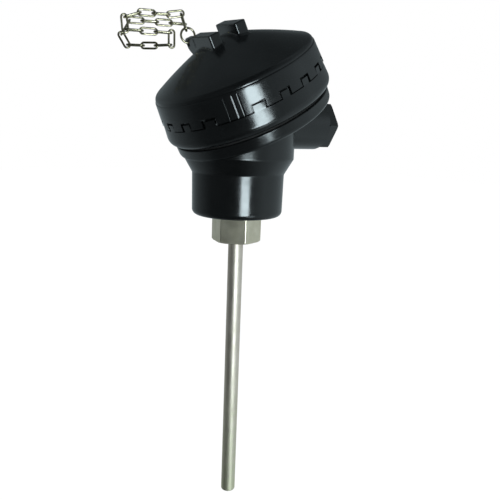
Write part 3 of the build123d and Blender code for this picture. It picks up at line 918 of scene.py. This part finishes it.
    def ear(self) -> BMesh:
        """Swept ear on the end of one lug, with a hole, in cap coordinates."""
        bm = bmesh.new()
        root = self.lug_length / 2 - self.lug_edge - self.ear_tip_edge
        tip = self.lug_length / 2 + self.ear_length
        high = self.lug_top - self.lug_top_edge
        low = high - self.ear_tip_height
        foot = low - self.ear_foot_height
        start, end = Vector((tip, low)), Vector((self.lug_length / 2, foot))
        chord = end - start
        above = Vector((chord.y, -chord.x)).normalized()
        centre = (start + end) / 2 + above * math.sqrt(self.ear_sweep ** 2 - chord.length_squared / 4)
        sweep = 2 * math.asin(chord.length / 2 / self.ear_sweep)
        pen = Pen(bm, root, foot).line((root, high))
        pen.turn((tip, high), (tip, low), self.ear_tip_edge, self.ear_tip_steps)
        pen.line((tip, low)).arc(tuple(centre), sweep, self.ear_sweep_steps).close()
        circle = bmesh.ops.create_circle(bm, segments=self.ear_hole_steps, radius=self.ear_hole)["verts"]
        rotate(bm, math.pi / 2, "X", circle)
        bmesh.ops.translate(bm, verts=circle, vec=(tip - self.ear_hole_inset, 0, high - self.ear_hole_inset))
        bmesh.ops.triangle_fill(bm, use_beauty=True, edges=bm.edges[:])
        plate = bmesh.ops.extrude_face_region(bm, geom=bm.faces[:])["geom"]
        bmesh.ops.translate(bm, verts=verts_of(plate), vec=(0, -self.ear_thickness, 0))
        clean(bm)
        rims = [e for e in bm.edges if len(e.link_faces) == 2 and e.calc_face_angle(0.0) > self.ear_sharp
                and abs(e.verts[0].co.y - e.verts[1].co.y) < MERGE
                and max(v.co.x for v in e.verts) > root + MERGE]
        bevel(bm, rims, self.ear_edge, self.edge_steps, clamp=True)
        across = Matrix.Translation((-self.lug_gap / 2 - self.lug_thickness, 0, 0))
        matrix = Matrix.Rotation(self.lug_turn, 4, "Z") @ across @ Matrix.Rotation(math.pi / 2, 4, "Z")
        bmesh.ops.transform(bm, matrix=matrix, verts=bm.verts)
        return bm

    def build(self) -> Object:
        """Make the whole cap in its place."""
        bm = self.shell()
        for part in (self.lug(-1), self.lug(1), self.ear()):
            gather(bm, part)
        bmesh.ops.transform(bm, matrix=self.seat.matrix(), verts=bm.verts)
        obj = as_object(bm, "cap_shell")
        soften(obj, self.edge)
        return dress(obj, "cap_plastic", Body.CAP, "screw_cap")


@dataclass
class RingThread:
    """Raised thread round the head's ring, in sight when the cap is screwed up."""

    seat: CapSeat = field(default_factory=CapSeat)
    ring: float = 38.0 * MM
    root: float = 0.05 * MM
    depth: float = 0.2 * MM
    low: float = 0.9 * MM
    foot: float = 1.4 * MM
    flank: float = 0.4 * MM
    pitch: float = 3.0 * MM
    turns: float = 1.8
    steps: int = 200
    edge: float = 0.05 * MM

    def build(self) -> Object:
        """Sweep the thread's outline up round the ring."""
        bm = bmesh.new()
        inside, crest, top = self.ring - self.root, self.ring + self.depth, self.low + self.foot
        Pen(bm, inside, self.low).line(
            (crest, self.low + self.flank), (crest, top - self.flank), (inside, top)).close()
        bmesh.ops.spin(bm, geom=bm.verts[:] + bm.edges[:], axis=(0, 0, 1), angle=self.turns * FULL_TURN,
                       steps=self.steps, dvec=(0, 0, self.pitch * self.turns / self.steps))
        fill_holes(bm)
        clean(bm)
        bmesh.ops.transform(bm, matrix=self.seat.matrix(), verts=bm.verts)
        obj = as_object(bm, "ring_thread")
        soften(obj, self.edge)
        return dress(obj, "head_plastic", Body.ROOT)


@dataclass
class HexFitting:
    """Steel hexagon with its shank up in the neck."""

    flats: float = 23.0 * MM
    height: float = 14.0 * MM
    chamfer: float = 1.1 * MM
    chamfer_angle: float = math.radians(30)
    turn: float = math.radians(15.1)
    corner_edge: float = 0.38 * MM
    bore: float = 3.83 * MM
    shank: float = 10.4 * MM
    shank_top: float = 29.0 * MM
    shank_chamfer: float = 1.2 * MM
    edge: float = 0.12 * MM
    edge_limit: float = 24.0
    corner_steps: int = 4
    turned_steps: int = 180
    bore_steps: int = 64
    shank_steps: int = 96

    def prism(self, corner: float) -> BMesh:
        """Six-sided prism with rounded upright edges."""
        bm = bmesh.new()
        bmesh.ops.create_circle(bm, cap_ends=True, segments=6, radius=corner)
        rotate(bm, self.turn - math.pi / 2)
        top = bmesh.ops.extrude_face_region(bm, geom=bm.faces[:])["geom"]
        bmesh.ops.translate(bm, vec=(0, 0, self.height), verts=verts_of(top))
        clean(bm)
        upright = [e for e in bm.edges if abs(e.verts[0].co.z - e.verts[1].co.z) > self.height / 2]
        bevel(bm, upright, self.corner_edge, self.corner_steps)
        return bm

    def turned_form(self, corner: float) -> BMesh:
        """Round form that the prism's corners are turned down to."""
        rise = self.chamfer * math.tan(self.chamfer_angle)
        return clean(spun(lambda b: Pen(b, 0, 0).line(
            (corner - self.chamfer, 0), (corner, rise), (corner, self.height - rise),
            (corner - self.chamfer, self.height), (0, self.height)), self.turned_steps))

    def bore_form(self) -> BMesh:
        """Rod that cuts the bore."""
        return clean(spun(lambda b: Pen(b, 0, -self.height).line(
            (self.bore, -self.height), (self.bore, 2 * self.height), (0, 2 * self.height)), self.bore_steps))

    def shank_form(self) -> BMesh:
        """Bored shank that goes up into the neck."""
        foot, top, rest = self.height - self.chamfer, self.shank_top, self.shank_chamfer
        return clean(spun(lambda b: Pen(b, self.bore, foot).line(
            (self.shank - self.chamfer, foot), (self.shank, self.height), (self.shank, top - rest),
            (self.shank - rest, top), (self.bore, top)).close(), self.shank_steps))

    def build(self) -> Object:
        """Make the hexagon, its turned corners and the shank."""
        corner = self.flats / math.sqrt(3)
        obj = as_object(self.prism(corner), "hexagon")
        cut(obj, as_object(self.turned_form(corner), "turned_form"), "INTERSECT")
        cut(obj, as_object(self.bore_form(), "bore"), "DIFFERENCE")
        whole = bmesh.new()
        whole.from_mesh(obj.data)
        gather(whole, self.shank_form())
        whole.to_mesh(obj.data)
        whole.free()
        soften(obj, self.edge, self.edge_limit)
        return dress(obj, "fitting_steel", Body.ROOT, "hex_fitting")


@dataclass
class Chain:
    """Long wire links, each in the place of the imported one."""

    length: float = 9.52 * MM
    width: float = 3.84 * MM
    wire: float = 0.51 * MM
    ring_steps: int = 12
    bend_steps: int = 10

    def link(self) -> BMesh:
        """One smooth link, lying flat in the XY plane along X."""
        half, bend = (self.length - self.width) / 2, self.width / 2 - self.wire
        bm = bmesh.new()
        for side in (1, -1):
            made = bmesh.ops.create_circle(bm, segments=self.ring_steps, radius=self.wire)["verts"]
            rotate(bm, math.pi / 2, "Y", made)
            bmesh.ops.translate(bm, verts=made, vec=(side * half, side * bend, 0))
            edges = list({e for v in made for e in v.link_edges})
            bmesh.ops.spin(bm, geom=made + edges, cent=(side * half, 0, 0), axis=(0, 0, 1),
                           angle=-FULL_TURN / 2, steps=self.bend_steps)
        for side in (1, -1):
            rims = [e for e in bm.edges if e.is_boundary and e.verts[0].co.y * side > 0]
            bmesh.ops.bridge_loops(bm, edges=rims)
        return clean(bm)

    def places(self) -> list:
        """Matrix of each packed link, read from its own mesh."""
        bm = bmesh.new()
        bm.from_mesh(bpy.data.objects["chain_links"].data)
        bmesh.ops.remove_doubles(bm, verts=bm.verts, dist=MERGE)
        found, seen = [], set()
        for first in bm.verts:
            if first in seen:
                continue
            island, queue = [], [first]
            seen.add(first)
            while queue:
                vert = queue.pop()
                island.append(vert.co)
                for other in (e.other_vert(vert) for e in vert.link_edges):
                    if other not in seen:
                        seen.add(other)
                        queue.append(other)
            found.append(self.placed(np.array(island)))
        bm.free()
        return found

    @staticmethod
    def placed(points: np.ndarray) -> Matrix:
        """Find where a packed link lies.

        Args:
            points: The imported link's points, one per row.

        Returns:
            Matrix that lays a flat link along X onto them.
        """
        middle = points.mean(axis=0)
        axes = np.linalg.eigh(np.cov((points - middle).T))[1][:, ::-1]
        axes[:, 2] = np.cross(axes[:, 0], axes[:, 1])
        local = (points - middle) @ axes
        centre = middle + axes @ ((local.min(axis=0) + local.max(axis=0)) / 2)
        return Matrix.Translation(Vector(centre)) @ Matrix(axes.tolist()).to_4x4()

    def build(self) -> Object:
        """Make every link of the chain as one piece."""
        bm = bmesh.new()
        for matrix in self.places():
            gather(bm, self.link(), matrix)
        obj = as_object(bm, "chain")
        obj.data.shade_smooth()
        for wire in (obj, bpy.data.objects["chain_hook"]):
            wire.visible_diffuse = False  # keeps the wire's specks of light off the dome
        return dress(obj, "chain_steel", Body.CAP, "chain_links")


# ---------------------------------------- studio


@dataclass
class Studio:
    """Camera, pale floor, soft light and the room that the gloss reflects."""

    camera_place: tuple = (-176.3 * MM, -232.3 * MM, 58.5 * MM)
    heading: float = math.radians(38.73)
    pitch: float = math.radians(-12.32)
    roll: float = math.radians(-2.198)
    focal_pixels: float = 553.3
    picture: float = 500.0
    sensor: float = 36.0
    clip: tuple = (0.01, 20.0)
    floor_level: float = -0.215
    floor_size: float = 6.0
    floor_cells: int = 8
    floor_glow: float = 1.12
    floor_veil: float = 0.85
    floor_roughness: float = 0.9
    floor_patches: float = 6.0
    floor_greys: tuple = (0.86, 0.9)
    key_distance: float = 0.85
    key_width: float = 0.30
    key_spans: tuple = ((-0.030, -0.36, 5.2, math.radians(19)), (-0.33, -0.90, 0.85, math.radians(37)))
    soft_lamps: tuple = (
        ("top", (-0.35, -0.35, 1.3), (0.9, 0.9), 4.0),
        ("side", (0.9, -0.9, 0.5), (0.6, 0.8), 1.4))
    soft_aim: tuple = (0.0, 0.0, 40 * MM)
    low_room: tuple = (
        (-180, 0.42), (-140, 0.36), (-105, 0.26), (-70, 0.06), (-20, 0.05),
        (5, 0.06), (40, 0.28), (70, 0.56), (130, 0.50), (180, 0.42))
    high_room: tuple = (
        (-180, 0.16), (-120, 0.34), (-60, 0.06), (0, 0.04), (40, 0.30), (90, 0.62), (150, 0.20), (180, 0.16))
    crown_fade: tuple = (1.0, 0.42, 0.25, 0.6)
    floor_fade: tuple = (0.35, 1.0, -0.9, -0.6)
    tint: tuple = (0.80, 0.95, 1.0)
    horizon: tuple = (-0.02, 0.12)
    fill: float = 0.5

    @property
    def facing(self) -> float:
        """Angle about Z of the side that faces the camera."""
        return math.atan2(self.camera_place[1], self.camera_place[0])

    def camera(self) -> None:
        """Camera at the photograph's viewing angle."""
        flat, sine, cosine = math.cos(self.pitch), math.sin(self.heading), math.cos(self.heading)
        forward = Vector((sine * flat, cosine * flat, math.sin(self.pitch)))
        level = Vector((cosine, -sine, 0))
        below = forward.cross(level)
        right = level * math.cos(self.roll) + below * math.sin(self.roll)
        down = below * math.cos(self.roll) - level * math.sin(self.roll)
        data = bpy.data.cameras.new("camera")
        data.sensor_width = self.sensor
        data.lens = self.sensor * self.focal_pixels / self.picture
        data.clip_start, data.clip_end = self.clip
        camera = bpy.data.objects.new("camera", data)
        basis = Matrix((right, -down, -forward)).transposed().to_4x4()
        camera.matrix_world = Matrix.Translation(self.camera_place) @ basis
        bpy.context.scene.collection.objects.link(camera)
        bpy.context.scene.camera = camera

    @staticmethod
    def lamp(name: str, place: Vector, size: tuple, power: float, target: Vector) -> Object:
        """Make a soft rectangular lamp that faces a target.

        Args:
            name: Name of the lamp.
            place: Its centre.
            size: Its width and height.
            power: Its power in watts.
            target: Place that it faces.

        Returns:
            The lamp.
        """
        data = bpy.data.lights.new(name, "AREA")
        data.shape = "RECTANGLE"
        data.size, data.size_y = size
        data.energy = power
        lamp = bpy.data.objects.new(name, data)
        aim = (target - place).to_track_quat("-Z", "Y").to_matrix().to_4x4()
        lamp.matrix_world = Matrix.Translation(place) @ aim
        bpy.context.scene.collection.objects.link(lamp)
        return lamp

    def lamps(self) -> None:
        """Tall strips right of the camera for the gloss, and soft light for the form."""
        for high, low, power, side in self.key_spans:
            angle = self.facing + side
            place = Vector((math.cos(angle), math.sin(angle), 0)) * self.key_distance
            place.z = (high + low) / 2
            strip = self.lamp("strip", place, (self.key_width, high - low), power, Vector((0, 0, place.z)))
            strip.visible_diffuse = False
            strip.data.color = self.tint
        for name, place, size, power in self.soft_lamps:
            lamp = self.lamp(name, Vector(place), size, power, Vector(self.soft_aim))
            lamp.visible_glossy = False

    def world(self) -> None:
        """White background, and a room that is dim at the camera's side for what reflects it."""
        world = bpy.data.worlds.new("room")
        bpy.context.scene.world = world
        world.use_nodes = True
        graph = Graph(world.node_tree)
        direction = graph.add("TexCoord").outputs["Generated"]
        parts = []
        for angle in (self.facing, self.facing + math.pi / 2):
            dot = graph.add("VectorMath", operation="DOT_PRODUCT")
            graph.feed(dot.inputs[0], direction)
            graph.feed(dot.inputs[1], (math.cos(angle), math.sin(angle), 0.0))
            parts.append(dot.outputs["Value"])
        turn = graph.math("ARCTAN2", parts[1], parts[0])
        share = graph.spread(turn, 0.0, 1.0, -math.pi, math.pi)
        low, high = (
            graph.ramp(share, [(angle / 360 + 0.5, [grey * t for t in self.tint]) for angle, grey in room])
            for room in (self.low_room, self.high_room))
        split = graph.add("SeparateXYZ")
        graph.feed(split.inputs[0], direction)
        dims = (graph.spread(split.outputs[2], *fade) for fade in (self.floor_fade, self.crown_fade))
        low, high = (graph.blend(dim, (0.0, 0.0, 0.0), room) for dim, room in zip(dims, (low, high)))
        level = graph.blend(graph.spread(split.outputs[2], 0.0, 1.0, *self.horizon), low, high)
        level = graph.blend(graph.add("LightPath").outputs["Is Glossy Ray"], (self.fill,) * 3, level)
        graph.wire(world.node_tree.nodes["Background"], {
            "Color": graph.blend(graph.seen(), level, (1.0, 1.0, 1.0)), "Strength": 1.0})

    def floor(self) -> None:
        """Pale floor that stays white to the camera and can be seen through from below."""
        bm = bmesh.new()
        bmesh.ops.create_grid(bm, x_segments=self.floor_cells, y_segments=self.floor_cells,
                              size=self.floor_size / 2)
        bmesh.ops.translate(bm, verts=bm.verts, vec=(0, 0, self.floor_level))
        floor = as_object(bm, "floor")
        material = bpy.data.materials.new("pale_floor")
        material.use_nodes = True
        graph = Graph(material.node_tree)
        greys = graph.blend(graph.noise(self.floor_patches), *((grey,) * 3 for grey in self.floor_greys))
        shader = graph.wire(material.node_tree.nodes["Principled BSDF"], {
            "Roughness": self.floor_roughness, "Base Color": greys})
        glow = graph.wire(graph.add("Emission"), {"Strength": self.floor_glow})
        veil = graph.math("MULTIPLY", graph.seen(), self.floor_veil)
        upper = graph.mix(veil, shader.outputs[0], glow.outputs[0])
        below = graph.add("NewGeometry").outputs["Backfacing"]
        surface = graph.mix(below, upper, graph.add("BsdfTransparent").outputs[0])
        graph.feed(material.node_tree.nodes["Material Output"].inputs["Surface"], surface)
        floor.data.materials.append(material)
        floor.visible_glossy = False

    def build(self) -> None:
        """Set up the whole studio."""
        self.camera()
        self.lamps()
        self.world()
        self.floor()
        bpy.context.scene.view_settings.view_transform = "Standard"


def paint_nodes(frame: dict) -> None:
    """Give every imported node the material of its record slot.
    """
    for part in frame["record"]["subparts"]:
        node = frame["nodes"][part["node"]]
        for slot in node.material_slots:
            slot.material = WARDROBE[part["material_slot"]]
        LOG.info("%s: packed mesh, finish %s", node.name, part["material_slot"])


def main() -> None:
    """Load the frame, dress it and report each piece."""
    logging.basicConfig(level=logging.INFO, format="%(message)s")
    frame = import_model()
    WARDROBE.update({slot: finish.build() for slot, finish in FINISHES.items()})
    paint_nodes(frame)
    Studio().build()
    for assembly in (ScrewCap(), RingThread(), HexFitting(), Chain()):
        assembly.build()


if __name__ == "__main__":
    main()
